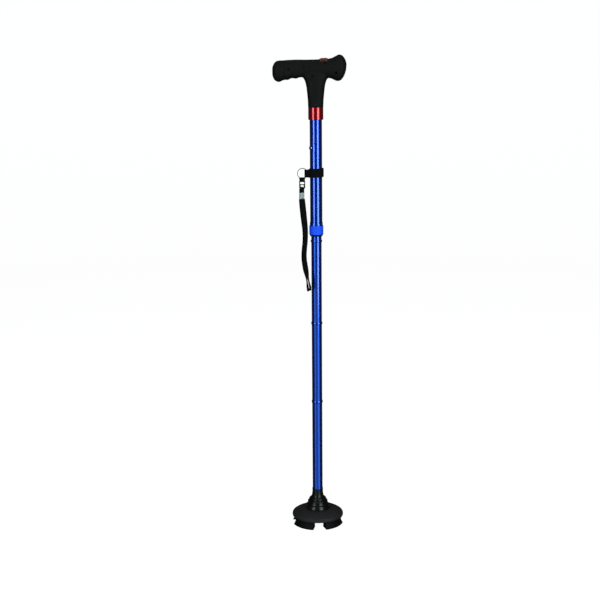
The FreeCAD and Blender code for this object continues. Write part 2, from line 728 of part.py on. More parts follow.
def make_strap_fittings():
    ring_foot = RING_Z - RING_R
    bar_top, bar_middle, bar_low = LINK_BARS_Z
    folded_r = LINK_BAR_R + WEBBING_T
    sides = (TAB_Y - folded_r, TAB_Y + folded_r)
    loop_x = (LINK_X - LOOP_W / 2, LINK_X + LOOP_W / 2)
    eye = across(EYE_R + WEBBING_T, ring_foot, LINK_X, LOOP_W)
    tail = across(folded_r, bar_top, LINK_X, LOOP_W)
    web = block(loop_x, sides, (bar_top, ring_foot))
    holes = [across(EYE_R, ring_foot, LINK_X, LINK_W), across(LINK_BAR_R, bar_top, LINK_X, LINK_W)]
    save("ring_loop", joined([eye, tail, web]).cut(Part.makeCompound(holes)))

    outer = LINK_W / 2
    inner = outer - LINK_RAIL
    rails_y = (TAB_Y - LINK_BAR_R, TAB_Y + LINK_BAR_R)
    rails_z = (bar_low - 1.2, bar_top + 1.2)
    save("strap_link", joined([
        across(LINK_BAR_R, bar_top, LINK_X, 2 * inner + 1),
        across(LINK_BAR_R, bar_middle, LINK_X, 2 * inner + 1),
        across(LINK_BAR_R, bar_low, LINK_X, 2 * inner + 1),
        block((LINK_X - outer, LINK_X - inner), rails_y, rails_z),
        block((LINK_X + inner, LINK_X + outer), rails_y, rails_z),
    ]))

    block_w = CRIMP_W + 0.2
    block_x = (CRIMP_X - block_w / 2, CRIMP_X + block_w / 2)
    folded = joined([
        block(block_x, sides, BLOCK_Z),
        block(loop_x, sides, (BLOCK_Z[0], bar_low)),
        across(folded_r, bar_low, LINK_X, LOOP_W),
    ])
    save("stitched_block", folded.cut(across(LINK_BAR_R, bar_low, LINK_X, LINK_W)))
    crimp = block((CRIMP_X - CRIMP_W / 2, CRIMP_X + CRIMP_W / 2), (TAB_Y - 2.4, TAB_Y + 2.4), CRIMP_Z)
    uprights = [edge for edge in crimp.Edges if abs(edge.tangentAt(edge.FirstParameter).z) > 0.9]
    save("strap_crimp", crimp.makeFillet(1.6, uprights))


def make_wrist_strap():
    heading = math.radians(STRAP_HEADING)
    ahead = Vector(math.cos(heading), math.sin(heading), 0)
    across_strap = Vector(-ahead.y, ahead.x, 0)
    top = Vector(*STRAP_START, 0)
    points = [top + ahead * along + UP * height for along, height in STRAP_ROUTE]
    path, radii = rounded_path(points)
    first = (points[1] - points[0]).normalize()
    flat = first.cross(across_strap)
    corners = [
        points[0] + across_strap * (STRAP_W / 2 * a) + flat * (STRAP_T / 2 * b)
        for a, b in ((-1, -1), (1, -1), (1, 1), (-1, 1), (-1, -1))
    ]
    # the end at the crimp is level, so the section starts a little inside and is trimmed
    strap = path.makePipeShell([Part.makePolygon(corners)], True, True)
    strap = strap.cut(block((-60, 20), (-40, 20), (CRIMP_Z[0], CRIMP_Z[0] + 5)))
    save("wrist_strap", strap)
    print("wrist strap: length", round(path.Length, 1), "radii", [round(r, 1) for r in radii])
    swept = path.Length * STRAP_W * STRAP_T
    print("wrist strap: volume", round(strap.Volume, 1), "expected", round(swept, 1))


# ---- the whole cane ----------------------------------------------------------------------
os.makedirs("parts", exist_ok=True)
make_foot()
make_swivel()
make_lower_sections()
make_inner_section()
make_upper_tube()
make_handle()
make_band_and_ring()
make_strap_fittings()
make_wrist_strap()
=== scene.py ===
"""Looks of the folding walking cane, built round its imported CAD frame.

Shapes are worked out in millimetres and turned into metres when their mesh is made.
The shaft's axis is Z, the floor is Z = 0, the long grip points along -X and -Y faces the camera.
"""

import json
import math

import bmesh
import bpy
import numpy as np
from mathutils import Matrix, Vector


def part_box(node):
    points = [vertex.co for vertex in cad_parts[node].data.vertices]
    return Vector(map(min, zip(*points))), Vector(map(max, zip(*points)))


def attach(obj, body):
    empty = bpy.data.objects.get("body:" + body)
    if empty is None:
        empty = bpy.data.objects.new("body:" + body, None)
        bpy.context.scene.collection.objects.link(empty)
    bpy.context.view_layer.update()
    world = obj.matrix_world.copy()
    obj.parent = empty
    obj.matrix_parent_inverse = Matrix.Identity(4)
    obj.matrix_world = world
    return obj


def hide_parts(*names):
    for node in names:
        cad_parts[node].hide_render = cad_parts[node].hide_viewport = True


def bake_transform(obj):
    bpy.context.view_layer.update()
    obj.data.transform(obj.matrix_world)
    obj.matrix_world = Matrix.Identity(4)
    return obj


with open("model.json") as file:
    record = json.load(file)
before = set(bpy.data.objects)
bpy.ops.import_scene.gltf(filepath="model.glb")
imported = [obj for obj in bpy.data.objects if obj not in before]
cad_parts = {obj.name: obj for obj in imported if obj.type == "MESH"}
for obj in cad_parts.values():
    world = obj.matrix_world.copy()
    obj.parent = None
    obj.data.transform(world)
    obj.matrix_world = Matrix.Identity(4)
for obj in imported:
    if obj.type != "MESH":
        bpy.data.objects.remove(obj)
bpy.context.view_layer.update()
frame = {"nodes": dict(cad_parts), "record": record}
NODES = frame["nodes"]
MM = 0.001


# ---- places read from the frame -----------------------------------------------------------
def box(node):
    """Lowest and highest corner of a CAD node, in millimetres."""
    low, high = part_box(node)
    return low / MM, high / MM


def islands(node):
    """Lowest and highest corner of each separate solid of a CAD node in millimetres, always in one order."""
    mesh = bmesh.new()
    mesh.from_mesh(NODES[node].data)
    bmesh.ops.remove_doubles(mesh, verts=mesh.verts, dist=1e-6)
    waiting, boxes = set(mesh.verts), []
    while waiting:
        front, found = [waiting.pop()], []
        while front:
            vert = front.pop()
            found.append(vert.co.copy())
            for edge in vert.link_edges:
                other = edge.other_vert(vert)
                if other in waiting:
                    waiting.discard(other)
                    front.append(other)
        points = np.array(found) / MM
        boxes.append((Vector(points.min(0)), Vector(points.max(0))))
    mesh.free()
    return sorted(boxes, key=lambda corners: tuple(corners[0]))


# ---- materials -----------------------------------------------------------------------------
class Finish:
    """A procedural material: one Principled shader whose patterns lie in the row frame."""

    def __init__(self, name, color, roughness, **sockets):
        self.material = bpy.data.materials.new(name)
        self.material.use_nodes = True
        self.tree = self.material.node_tree
        self.shader = self.tree.nodes["Principled BSDF"]
        self.color = color
        self.shader.inputs["Base Color"].default_value = (*color, 1)
        self.shader.inputs["Roughness"].default_value = roughness
        for socket, value in sockets.items():
            self.shader.inputs[socket.replace("_", " ")].default_value = value

    def node(self, kind, **values):
        made = self.tree.nodes.new("ShaderNode" + kind)
        for key, value in values.items():
            setattr(made, key, value)
        return made

    def link(self, source, target):
        self.tree.links.new(source, target)

    def place(self, size, stretch=(1, 1, 1)):
        """Coordinates in which one unit is size millimetres, drawn out by stretch."""
        coordinates = self.node("TexCoord")
        mapping = self.node("Mapping")
        mapping.inputs["Scale"].default_value = [1 / (size * MM * s) for s in stretch]
        self.link(coordinates.outputs["Object"], mapping.inputs["Vector"])
        return mapping.outputs["Vector"]

    def noise(self, size, stretch=(1, 1, 1), detail=3.0):
        """Noise whose features are about size millimetres across."""
        texture = self.node("TexNoise")
        texture.inputs["Scale"].default_value = 1.0
        texture.inputs["Detail"].default_value = detail
        self.link(self.place(size, stretch), texture.inputs["Vector"])
        return texture.outputs["Fac"]

    def spread(self, source, low, high, to_low, to_high):
        """Map a value from one range to another."""
        ranged = self.node("MapRange")
        ends = {"From Min": low, "From Max": high, "To Min": to_low, "To Max": to_high}
        for socket, value in ends.items():
            ranged.inputs[socket].default_value = value
        self.link(source, ranged.inputs["Value"])
        return ranged.outputs["Result"]

    def tint(self, source, color, low=0.35, high=0.65):
        """Shift the colour towards another where the pattern is high."""
        mix = self.node("Mix", data_type="RGBA")
        present = self.shader.inputs["Base Color"]
        if present.is_linked:
            self.link(present.links[0].from_socket, mix.inputs["A"])
        else:
            mix.inputs["A"].default_value = (*self.color, 1)
        mix.inputs["B"].default_value = (*color, 1)
        self.link(self.spread(source, low, high, 0.0, 1.0), mix.inputs["Factor"])
        self.link(mix.outputs["Result"], present)
        return self

    def gloss(self, source, smooth, rough, low=0.3, high=0.7):
        """Vary the roughness with the pattern."""
        self.link(self.spread(source, low, high, smooth, rough), self.shader.inputs["Roughness"])
        return self

    def bump(self, source, depth):
        """Raise the surface with the pattern, by depth in millimetres."""
        bump = self.node("Bump")
        bump.inputs["Strength"].default_value = 1.0
        bump.inputs["Distance"].default_value = depth * MM
        self.link(source, bump.inputs["Height"])
        normal = self.shader.inputs["Normal"]
        if normal.is_linked:
            self.link(normal.links[0].from_socket, bump.inputs["Normal"])
        self.link(bump.outputs["Normal"], normal)
        return self


def drawn_metal(name, color, roughness, streak=(1, 1, 60), **sockets):
    """Metal with fine lines along the way it was drawn or turned."""
    finish = Finish(name, color, roughness, **{"Metallic": 1.0, **sockets})
    lines = finish.noise(0.5, streak, 2.0)
    finish.gloss(lines, roughness * 0.9, roughness * 1.12)
    return finish.tint(finish.noise(18.0, (1, 1, 3)), [c * 0.92 for c in color], 0.4, 0.75)


def moulded(name, color, roughness, grain=0.35, depth=0.012, **sockets):
    """Moulded plastic or rubber with an eroded grain and faint handling marks."""
    finish = Finish(name, color, roughness, **{"Specular_IOR_Level": 0.06, **sockets})
    finish.bump(finish.noise(grain, detail=4.0), depth)
    finish.gloss(finish.noise(14.0), roughness * 0.88, min(1.0, roughness * 1.12))
    return finish.tint(finish.noise(9.0, detail=5.0), [c * 1.35 for c in color], 0.5, 0.8)


def woven(name, color, roughness):
    """Fibres of a woven or felted band; its ribs are in the mesh."""
    finish = Finish(name, color, roughness, Sheen_Weight=0.02, Sheen_Roughness=0.5,
                    Specular_IOR_Level=0.05)
    fibres = finish.noise(0.12, (1, 1, 3), 3.0)
    finish.bump(fibres, 0.03).tint(fibres, [c * 2.2 for c in color], 0.45, 0.8)
    return finish.tint(finish.noise(6.0), [c * 0.6 for c in color], 0.5, 0.8)


def make_finishes():
    """One finish for each material slot of the record."""
    blue = (0.0, 0.040, 0.37)
    made = {
        "foot_rubber": moulded("foot_rubber", (0.0136, 0.0122, 0.0122), 0.6, 0.5, 0.03,
                               Specular_IOR_Level=0.12),
        # painted shade: the foot's rubber made darker for the lobes down by the floor
        "lobe_rubber_painted_shade": moulded("lobe_rubber_painted_shade", (0.0032, 0.0028, 0.0028), 0.6, 0.5, 0.03),
        "neck_rubber": moulded("neck_rubber", (0.0022, 0.0018, 0.0018), 0.28, 0.6, 0.004,
                               Specular_IOR_Level=0.24),
        "black_nylon": moulded("black_nylon", (0.016, 0.016, 0.017), 0.5),
        "link_plastic": moulded("link_plastic", (0.005, 0.005, 0.0055), 0.35),
        "ball_steel": drawn_metal("ball_steel", (0.56, 0.56, 0.58), 0.25, (60, 60, 1)),
        "screw_steel": drawn_metal("screw_steel", (0.03, 0.03, 0.032), 0.4, (1, 1, 1)),
        "spring_steel": drawn_metal("spring_steel", (0.5, 0.5, 0.52), 0.3),
        "button_steel": drawn_metal("button_steel", (0.62, 0.62, 0.64), 0.22, (1, 1, 1)),
        "blue_tube": drawn_metal("blue_tube", blue, 0.27, Metallic=0.94, Specular_IOR_Level=0.1,
                                 Coat_Weight=1.0, Coat_Roughness=0.10, Coat_IOR=1.50),
        "blue_nut": drawn_metal("blue_nut", (0.010, 0.075, 0.74), 0.5, (1, 1, 1), Metallic=0.3,
                                Specular_IOR_Level=0.2),
        "bare_aluminium": drawn_metal("bare_aluminium", (0.72, 0.73, 0.75), 0.28),
        "red_ferrule": drawn_metal("red_ferrule", (0.30, 0.0, 0.003), 0.30, (40, 40, 1), Metallic=0.8,
                                   Specular_IOR_Level=0.1, Coat_Weight=1.0, Coat_Roughness=0.10,
                                   Coat_IOR=1.50),
        "grip_plastic": moulded("grip_plastic", (0.0044, 0.0039, 0.0037), 0.6, 0.45, 0.02),
        "reflector_chrome": drawn_metal("reflector_chrome", (0.85, 0.85, 0.86), 0.08, (1, 1, 1)),
        "circuit_board": moulded("circuit_board", (0.01, 0.12, 0.035), 0.4, 1.2, 0.01),
        "switch_plastic": moulded("switch_plastic", (0.02, 0.02, 0.022), 0.45),
        "cell_steel": drawn_metal("cell_steel", (0.66, 0.66, 0.67), 0.3, (1, 30, 30)),
        "contact_brass": drawn_metal("contact_brass", (0.75, 0.5, 0.18), 0.3, (1, 1, 1)),
        "wire_red": moulded("wire_red", (0.45, 0.015, 0.015), 0.38),
        "red_button": moulded("red_button", (0.060, 0.006, 0.005), 0.35, 0.8, 0.003,
                              Specular_IOR_Level=0.4),
        "black_webbing": woven("black_webbing", (0.0020, 0.0019, 0.0019), 0.9),
        "strap_webbing": woven("strap_webbing", (0.0017, 0.0017, 0.0018), 0.85),
        "elastic_cord": woven("elastic_cord", (0.55, 0.55, 0.52), 0.8),
        "ring_steel": drawn_metal("ring_steel", (0.06, 0.06, 0.063), 0.25, (1, 1, 1)),
        "crimp_metal": drawn_metal("crimp_metal", (0.23, 0.23, 0.23), 0.36, (1, 1, 8)),
        "clear_lens": Finish("clear_lens", (0.95, 0.97, 0.98), 0.03, Transmission_Weight=1.0, IOR=1.49),
        "emitter_clear": Finish("emitter_clear", (0.9, 0.9, 0.8), 0.1, Transmission_Weight=0.6),
    }
    for clear in ("clear_lens", "emitter_clear"):
        made[clear].bump(made[clear].noise(3.0), 0.002)
    return {slot: finish.material for slot, finish in made.items()}


# ---- meshes that repeat ---------------------------------------------------------------------
def new_piece(name, verts, faces, smooth=True):
    """A mesh object from points in millimetres."""
    mesh = bpy.data.meshes.new(name)
    mesh.from_pydata([[c * MM for c in v] for v in verts], [], faces)
    mesh.validate()
    piece = bpy.data.objects.new(name, mesh)
    bpy.context.scene.collection.objects.link(piece)
    tidy_mesh(piece, smooth)
    return piece


def tidy_mesh(piece, smooth=True):
    """Merge doubled points, turn the faces outwards and shade them."""
    mesh = bmesh.new()
    mesh.from_mesh(piece.data)
    bmesh.ops.remove_doubles(mesh, verts=mesh.verts, dist=1e-6)
    bmesh.ops.recalc_face_normals(mesh, faces=mesh.faces)
    mesh.to_mesh(piece.data)
    mesh.free()
    piece.data.polygons.foreach_set("use_smooth", [smooth] * len(piece.data.polygons))


def applied(piece):
    """Put the piece's modifiers into its mesh."""
    graph = bpy.context.evaluated_depsgraph_get()
    made = bpy.data.meshes.new_from_object(piece.evaluated_get(graph))
    piece.modifiers.clear()
    piece.data = made
    return piece


def bevelled(piece, width, segments=3, angle=35.0):
    """Round the piece's sharp edges."""
    bevel = piece.modifiers.new("bevel", "BEVEL")
    bevel.width = width * MM
    bevel.segments = segments
    bevel.limit_method = "ANGLE"
    bevel.angle_limit = math.radians(angle)
    applied(piece)
    piece.data.polygons.foreach_set("use_smooth", [True] * len(piece.data.polygons))
    return piece


def merged(name, pieces):
    """Several meshes as one piece."""
    mesh = bmesh.new()
    for piece in pieces:
        mesh.from_mesh(piece.data)
    data = bpy.data.meshes.new(name)
    mesh.to_mesh(data)
    mesh.free()
    for piece in pieces:
        bpy.data.objects.remove(piece)
    made = bpy.data.objects.new(name, data)
    bpy.context.scene.collection.objects.link(made)
    return made


def band_faces(size, here, following):
    """Faces between two rings of points, given the places of the rings in a list."""
    faces = []
    for k in range(size):
        after = (k + 1) % size
        faces.append((here * size + k, here * size + after, following * size + after, following * size + k))
    return faces


def lathe(name, outline, count=96, ripple=None, span=None):
    """Turn a closed outline of (radius, height) about the axis, all round or over a span of degrees."""
    start, end = span or (0.0, 360.0)
    rings = count if span is None else count + 1
    verts, faces = [], []
    size = len(outline)
    for index in range(rings):
        turn = math.radians(start + (end - start) * index / count)
        for r, z in outline:
            reach = r + (ripple(turn, r, z) if ripple else 0.0)
            verts.append((reach * math.cos(turn), reach * math.sin(turn), z))
    for index in range(count):
        faces += band_faces(size, index, (index + 1) % rings)
    if span is not None:
        faces.append(tuple(range(size)))
        faces.append(tuple(range(count * size, (count + 1) * size)))
    return new_piece(name, verts, faces)


def loft(name, rings):
    """Skin a list of equal rings of points, closed at both ends."""
    size = len(rings[0])
    verts = [point for ring in rings for point in ring]
    faces = []
    for index in range(len(rings) - 1):
        faces += band_faces(size, index, index + 1)
    faces.append(tuple(range(size)))
    faces.append(tuple(range(len(verts) - size, len(verts))))
    return new_piece(name, verts, faces)


def spline_value(table, column, at):
    """Smooth reading of one column of a table whose first column rises."""
    xs = [row[0] for row in table]
    ys = [row[column] for row in table]
    index = min(max(int(np.searchsorted(xs, at)) - 1, 0), len(xs) - 2)
    slopes = []
    for k in (index, index + 1):
        low, high = max(k - 1, 0), min(k + 1, len(xs) - 1)
        slopes.append((ys[high] - ys[low]) / (xs[high] - xs[low]))
    width = xs[index + 1] - xs[index]
    t = min(max((at - xs[index]) / width, 0.0), 1.0)
    start = (2 * t ** 3 - 3 * t ** 2 + 1) * ys[index] + (t ** 3 - 2 * t ** 2 + t) * width * slopes[0]
    end = (3 * t ** 2 - 2 * t ** 3) * ys[index + 1] + (t ** 3 - t ** 2) * width * slopes[1]
    return start + end


def ease(value, low, high):
    """0 below low, 1 above high, smooth between."""
    t = min(max((value - low) / (high - low), 0.0), 1.0)
    return t * t * (3 - 2 * t)


# ---- webbing -------------------------------------------------------------------------------
def webbing(name, path, across, width, thickness, pitch=1.3, rib=0.07, closed=False, faces_across=9):
    """Woven band along a path of points, with chevron ribs in its two faces.

    across gives the direction of its width at each point, and width may be one number or one for each point.
    """
    path = [Vector(p) for p in path]
    count = len(path)
    widths = width if isinstance(width, list) else [width] * count
    along = [0.0]
    for before, after in zip(path, path[1:]):
        along.append(along[-1] + (after - before).length)
    edge_steps = 3
    verts, faces = [], []
    for index in range(count):
        before = path[index - 1] if closed or index > 0 else path[0]
        after = path[(index + 1) % count] if closed or index < count - 1 else path[-1]
        tangent = (after - before).normalized()
        side = Vector(across[index])
        side = (side - tangent * side.dot(tangent)).normalized()
        face = side.cross(tangent)
        half_w, half_t = widths[index] / 2, thickness / 2
        flat = half_w - half_t
        section = []
        for sign in (1, -1):
            for k in range(faces_across):
                a = flat * (1 - 2 * k / (faces_across - 1)) * sign
                chevron = abs((a / flat * 2.0) % 2.0 - 1.0)
                wave = math.cos(2 * math.pi * (along[index] / pitch + chevron * 0.5))
                fade = 1 - abs(a / flat) ** 6
                section.append((a, sign * (half_t + rib * (wave - 1) / 2 * fade)))
            for k in range(1, edge_steps + 1):
                turn = math.pi / 2 + math.pi * k / (edge_steps + 1)
                section.append((sign * (-flat + half_t * math.cos(turn)), sign * half_t * math.sin(turn)))
        verts += [path[index] + side * a + face * b for a, b in section]
    size = len(section)
    for index in range(count if closed else count - 1):
        faces += band_faces(size, index, (index + 1) % count)
    if not closed:
        faces.append(tuple(range(size)))
        faces.append(tuple(range((count - 1) * size, count * size)))
    return new_piece(name, verts, faces)


def resampled(points, step, closed=False):
    """Points at even steps along a line of points."""
    points = [Vector(p) for p in points]
    if closed:
        points.append(points[0].copy())
    along = [0.0]
    for before, after in zip(points, points[1:]):
        along.append(along[-1] + (after - before).length)
    count = max(2, round(along[-1] / step))
    wanted = np.linspace(0.0, along[-1], count + 1)
    columns = [np.interp(wanted, along, [p[axis] for p in points]) for axis in range(3)]
    made = [Vector(p) for p in zip(*columns)]
    return made[:-1] if closed else made


def arc(centre, radius, start, end, steps=12):
    """Points (a, b) on an arc, by angles in degrees."""
    turns = [math.radians(start + (end - start) * k / steps) for k in range(steps + 1)]
    return [(centre[0] + radius * math.cos(t), centre[1] + radius * math.sin(t)) for t in turns]


def slot_outline(centre, width, height, radius, steps=6):
    """Rounded rectangle in a plane."""
    points = []
    for sx, sz, start in ((1, 1, 0), (-1, 1, 90), (-1, -1, 180), (1, -1, 270)):
        corner = (centre[0] + sx * (width / 2 - radius), centre[1] + sz * (height / 2 - radius))
        points += arc(corner, radius, start, start + 90, steps)
    return points


def wire(name, path, radius, sides=12, closed=False):
    """Round wire along a path of points, by carrying a ring along it."""
    path = [Vector(p) for p in path]
    count = len(path)
    verts, faces = [], []
    side = None
    for index in range(count):
        before = path[index - 1] if closed or index > 0 else path[0]
        after = path[(index + 1) % count] if closed or index < count - 1 else path[-1]
        tangent = (after - before).normalized()
        if side is None:
            side = tangent.orthogonal()
        side = (side - tangent * side.dot(tangent)).normalized()
        other = tangent.cross(side)
        for k in range(sides):
            turn = 2 * math.pi * k / sides
            verts.append(path[index] + (side * math.cos(turn) + other * math.sin(turn)) * radius)
    for index in range(count if closed else count - 1):
        faces += band_faces(sides, index, (index + 1) % count)
    if not closed:
        faces.append(tuple(range(sides)))
        faces.append(tuple(range((count - 1) * sides, count * sides)))
    return new_piece(name, verts, faces)


def dress(piece, body, slot, *nodes):
    """Give a finished piece its material, its body and the CAD nodes that it stands for."""
    piece.data.materials.clear()
    piece.data.materials.append(FINISHES[slot])
    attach(piece, body)
    if nodes:
        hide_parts(*nodes)
    return piece


def paint(piece, slot, chosen):
    """Give some of the piece's faces a second finish, chosen by their middle in millimetres."""
    piece.data.materials.append(FINISHES[slot])
    last = len(piece.data.materials) - 1
    for face in piece.data.polygons:
        if chosen(face.center / MM):
            face.material_index = last


# ---- handle --------------------------------------------------------------------------------
# grip outline: x, top, bottom, half width
GRIP = (
    (-77.4, 857.5, 845.0, 5.5), (-76.2, 861.4, 840.6, 9.0), (-73.9, 865.4, 836.3, 12.4),
    (-70.3, 868.9, 833.5, 14.7), (-65.0, 870.1, 832.2, 15.7), (-59.0, 870.4, 834.8, 15.6),
    (-51.0, 870.9, 836.9, 15.0), (-42.0, 871.3, 838.9, 14.4), (-32.0, 871.5, 839.6, 13.9),
    (-20.0, 871.3, 841.0, 13.8), (-6.0, 871.4, 842.0, 14.3), (8.0, 871.8, 841.5, 14.7),
    (20.0, 872.4, 839.4, 15.2), (29.0, 874.0, 837.2, 16.4), (36.0, 877.4, 833.9, 18.4),
    (42.0, 879.9, 833.3, 19.6), (47.0, 878.7, 836.2, 19.0), (51.5, 874.2, 843.2, 16.0),
    (54.4, 868.2, 851.5, 11.0), (55.4, 864.2, 857.0, 6.0),
)
# neck outline: z, half width along x, half width along y
NECK = (
    (785.0, 13.7, 13.7), (799.0, 14.2, 13.9), (808.0, 15.0, 14.1), (817.0, 15.9, 14.3),
    (825.0, 17.0, 14.5), (832.0, 18.7, 14.6), (838.0, 21.4, 14.5), (844.0, 25.4, 14.0),
    (851.0, 30.5, 12.6),
)
OVAL_POWER = 2.5
FINGER_PADS = ((-49.5, 3.8), (-35.5, 4.2))      # middle and half length of the pads between fingers
PAD_DEPTH = 1.5
SKIN = 2.2                                      # wall of the visible shells
VOXEL = 0.8
SEAM_HALF = 0.55
SEAM_DEPTH = 0.45
HOLE_R = 2.2
LENS_R = 7.0
BUTTON_FLANGE = 1.2                             # hidden rim under the shells
BUTTON_CORNER = 4.0
PEEP = (16.4, 864.4, 1.1)                       # pin-sized vent under the button: x, z, radius


def oval_point(turn, half_a, half_b):
    c, s = math.cos(turn), math.sin(turn)
    a = half_a * math.copysign(abs(c) ** (2 / OVAL_POWER), c)
    b = half_b * math.copysign(abs(s) ** (2 / OVAL_POWER), s)
    return a, b


def grip_solid():
    rings = []
    for x in np.linspace(GRIP[0][0], GRIP[-1][0], 140):
        top, bottom, half = (spline_value(GRIP, column, x) for column in (1, 2, 3))
        pads = sum(math.exp(-((x - middle) / length) ** 2) for middle, length in FINGER_PADS)
        ring = []
        for k in range(64):
            y, z = oval_point(2 * math.pi * k / 64, half, (top - bottom) / 2)
            under = ease(-z, 2.0, (top - bottom) / 2)
            ring.append((x, y, (top + bottom) / 2 + z - PAD_DEPTH * pads * under))
        rings.append(ring)
    return loft("grip", rings)


def neck_solid():
    rings = []
    for z in np.linspace(NECK[0][0], NECK[-1][0], 60):
        half_x, half_y = (spline_value(NECK, column, z) for column in (1, 2))
        rings.append([(*oval_point(2 * math.pi * k / 64, half_x, half_y), z) for k in range(64)])
    return loft("neck", rings)


def handle_skin():
    """Outer surface of the whole handle, with the grip flowing into the neck."""
    skin = merged("handle_skin", [grip_solid(), neck_solid()])
    remesh = skin.modifiers.new("remesh", "REMESH")
    remesh.mode = "VOXEL"
    remesh.voxel_size = VOXEL * MM
    applied(skin)
    crotch = skin.vertex_groups.new(name="crotch")
    for vert in skin.data.vertices:
        x, _, z = vert.co / MM
        share = ease(z, 822, 832) * ease(-z, -858, -848) * ease(-abs(x), -34, -26)
        crotch.add([vert.index], share, "REPLACE")
    for group, passes in (("", 9), ("crotch", 70)):
        smooth = skin.modifiers.new("smooth", "SMOOTH")
        smooth.factor = 0.5
        smooth.iterations = passes
        smooth.vertex_group = group
    return applied(skin)


def cut_plane(mesh, point, normal, drop=False):
    """Cut the mesh along a plane, and drop what lies on the side that the normal points to."""
    everything = mesh.verts[:] + mesh.edges[:] + mesh.faces[:]
    place = Vector(point) * MM
    bmesh.ops.bisect_plane(mesh, geom=everything, plane_co=place, plane_no=normal, clear_outer=drop)


def press_seam(mesh, axis, level):
    """Press a groove into the skin along the plane where two shells meet."""
    for vert in mesh.verts:
        away = abs(vert.co[axis] / MM - level)
        if away < SEAM_HALF:
            inward = vert.normal.copy()
            inward[axis] = 0.0
            vert.co -= inward * SEAM_DEPTH * MM * (1 - away / SEAM_HALF)


def open_hole(mesh, distance, near):
    """Open a hole in the skin where distance(point) is negative, and bring its rim to the outline."""
    gone = [v for v in mesh.verts if near(v.co / MM) and distance(v.co / MM) < -0.1]
    rim = {e.other_vert(v) for v in gone for e in v.link_edges} - set(gone)
    bmesh.ops.delete(mesh, geom=gone, context="VERTS")
    step = 0.01
    for vert in (v for v in rim if v.is_valid):
        place = vert.co / MM
        here = distance(place)
        slope = Vector([(distance(place + Vector(d) * step) - here) / step for d in np.eye(3)])
        vert.co -= slope * here * MM


def plan_distance(point, centre, half_x, half_y, corner):
    """Distance in plan from a rounded rectangle, negative inside it."""
    x = abs(point.x - centre.x) - half_x + corner
    y = abs(point.y - centre.y) - half_y + corner
    return math.hypot(max(x, 0.0), max(y, 0.0)) + min(max(x, y), 0.0) - corner


def handle_part(name, skin, limits):
    """One shell of the handle: the share of the skin behind planes that it is cut along, given a wall."""
    mesh = bmesh.new()
    mesh.from_mesh(skin)
    past = []
    for face in mesh.faces:
        middle = face.calc_center_median() / MM
        if any((middle - Vector(point)).dot(Vector(normal)) > 0 for point, normal in limits):
            past.append(face)
    bmesh.ops.delete(mesh, geom=past, context="FACES")
    data = bpy.data.meshes.new(name)
    mesh.to_mesh(data)
    mesh.free()
    part = bpy.data.objects.new(name, data)
    bpy.context.scene.collection.objects.link(part)
    wall = part.modifiers.new("wall", "SOLIDIFY")
    wall.thickness = SKIN * MM
    wall.offset = -1.0
    wall.use_even_offset = False
    wall.use_quality_normals = True
    applied(part)
    tidy_mesh(part)
    return part


def screw_well(x, z, low_y, high_y):
    """Tube round a screw's way in, from the skin to the screw's head."""
    outer, inner = HOLE_R + 0.9, HOLE_R + 0.02
    outline = [(outer, low_y), (inner, low_y), (inner, high_y), (outer, high_y)]
    well = lathe("well", outline, 32)
    lying = Matrix.Rotation(-math.pi / 2, 4, "X")
    well.data.transform(Matrix.Translation((x * MM, 0, z * MM)) @ lying)
    return well


def make_handle():
    skin_piece = handle_skin()
    cap_x = box("palm_cap")[1].x
    foot_z = box("handle_front_shell")[0].z
    screws = [((low + high) / 2, low.y) for low, high in islands("handle_screws")]
    button_low, button_high = box("light_button")
    button = (button_low + button_high) / 2
    lens = sum(box("light_lens"), Vector()) / 2
    lens_y, lens_z = lens.y, lens.z

    mesh = bmesh.new()
    mesh.from_mesh(skin_piece.data)
    bpy.data.objects.remove(skin_piece)
    cut_plane(mesh, (0, 0, foot_z), (0, 0, -1), drop=True)
    for level in (-SEAM_HALF, 0.0, SEAM_HALF):
        cut_plane(mesh, (0, level, 0), (0, 1, 0))
        cut_plane(mesh, (cap_x + level, 0, 0), (1, 0, 0))
    mesh.normal_update()
    press_seam(mesh, 1, 0.0)
    press_seam(mesh, 0, cap_x)
    for centre, _ in screws:
        open_hole(mesh, lambda p, c=centre: math.hypot(p.x - c.x, p.z - c.z) - HOLE_R, lambda p: p.y < -5)
    slot = (button_high - button_low) / 2 - Vector((1, 1, 0)) * (BUTTON_FLANGE - 0.25)
    open_hole(mesh, lambda p: plan_distance(p, button, slot.x, slot.y, BUTTON_CORNER), lambda p: p.z > 858)
    open_hole(mesh, lambda p: math.hypot(p.y - lens_y, p.z - lens_z) - LENS_R, lambda p: p.x > 45)
    open_hole(mesh, lambda p: math.hypot(p.x - PEEP[0], p.z - PEEP[1]) - PEEP[2], lambda p: p.y < -5)
    skin = bpy.data.meshes.new("skin")
    mesh.to_mesh(skin)
    mesh.free()

    past_cap = ((cap_x, 0, 0), (-1, 0, 0))
    front = handle_part("front_shell", skin, [((0, 0, 0), (0, 1, 0)), past_cap])
    wells = [screw_well(c.x, c.z, 13.6, -low) for c, low in screws if abs(low) < 12]
    front = merged("front_shell", [front] + wells)
    back = handle_part("back_shell", skin, [((0, 0, 0), (0, -1, 0)), past_cap])
    cap = handle_part("grip_end_cap", skin, [((cap_x, 0, 0), (1, 0, 0))])
    dress(front, "upper_shaft", "grip_plastic", "handle_front_shell")
    dress(back, "upper_shaft", "grip_plastic", "handle_back_shell")
    dress(cap, "palm_cap", "grip_plastic", "palm_cap")


def grip_top(x, y):
    """Height of the grip's upper surface, in millimetres."""
    top, bottom, half = (spline_value(GRIP, column, x) for column in (1, 2, 3))
    share = 1.0 - min(abs(y) / half, 1.0) ** OVAL_POWER
    return (top + bottom) / 2 + (top - bottom) / 2 * share ** (1 / OVAL_POWER)


